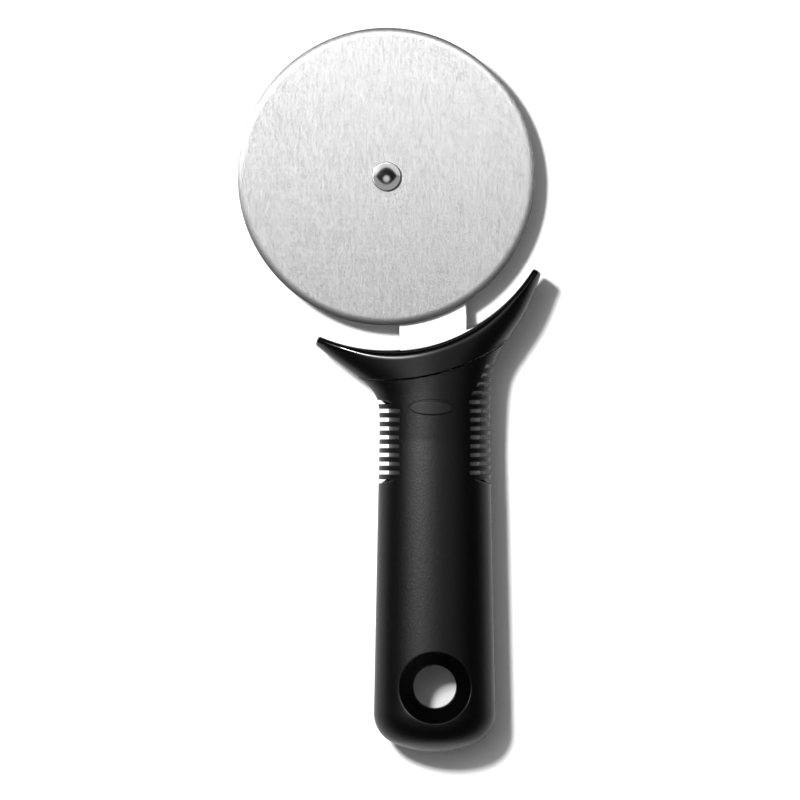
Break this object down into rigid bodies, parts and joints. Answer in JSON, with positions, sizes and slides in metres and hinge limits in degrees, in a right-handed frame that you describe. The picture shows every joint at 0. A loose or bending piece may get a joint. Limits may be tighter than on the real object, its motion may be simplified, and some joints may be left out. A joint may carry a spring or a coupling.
{
  "type": "pizza cutter wheel",
  "caption": "Hand-held rotary pizza cutter: a round steel blade on a single side arm, a curved finger guard, and a soft oval grip with squeeze fins and a hang hole.",
  "frame": {"origin": "centre of the hang hole, on the handle's mid-plane", "axes": "+Y along the handle to the wheel, +Z along the wheel's axis towards the side with the pin's head, +X to the right seen from that side"},
  "size_m": [0.1035, 0.247, 0.0264],
  "materials": {
    "blade_steel": "stainless steel, fine straight brushed grain, ground edge",
    "bearing_plastic": "natural acetal",
    "pin_steel": "polished stainless steel",
    "arm_plate": "die casting with satin bright plating",
    "guard_plastic": "black moulded plastic, glossier on the rim",
    "core_plastic": "black moulded plastic",
    "grip_rubber": "soft matte black rubber with a fine mottled grain",
    "dowel_steel": "plain steel"
  },
  "bodies": {
    "handle": {"neck_arm": "arm_plate", "finger_guard": "guard_plastic", "handle_core": "core_plastic", "grip_sleeve": "grip_rubber", "tang_pin": "dowel_steel", "axle_pin": "pin_steel", "axle_collar": "pin_steel", "front_washer": "bearing_plastic", "rear_washer": "bearing_plastic"},
    "wheel": {"wheel_blade": "blade_steel", "hub_bush": "bearing_plastic"}
  },
  "joints": [
    {"name": "wheel_spin", "type": "hinge", "parent": "handle", "child": "wheel", "pos_m": [-0.0165, 0.174, -0.0025], "axis": [0, 0, 1], "continuous": true}
  ]
}
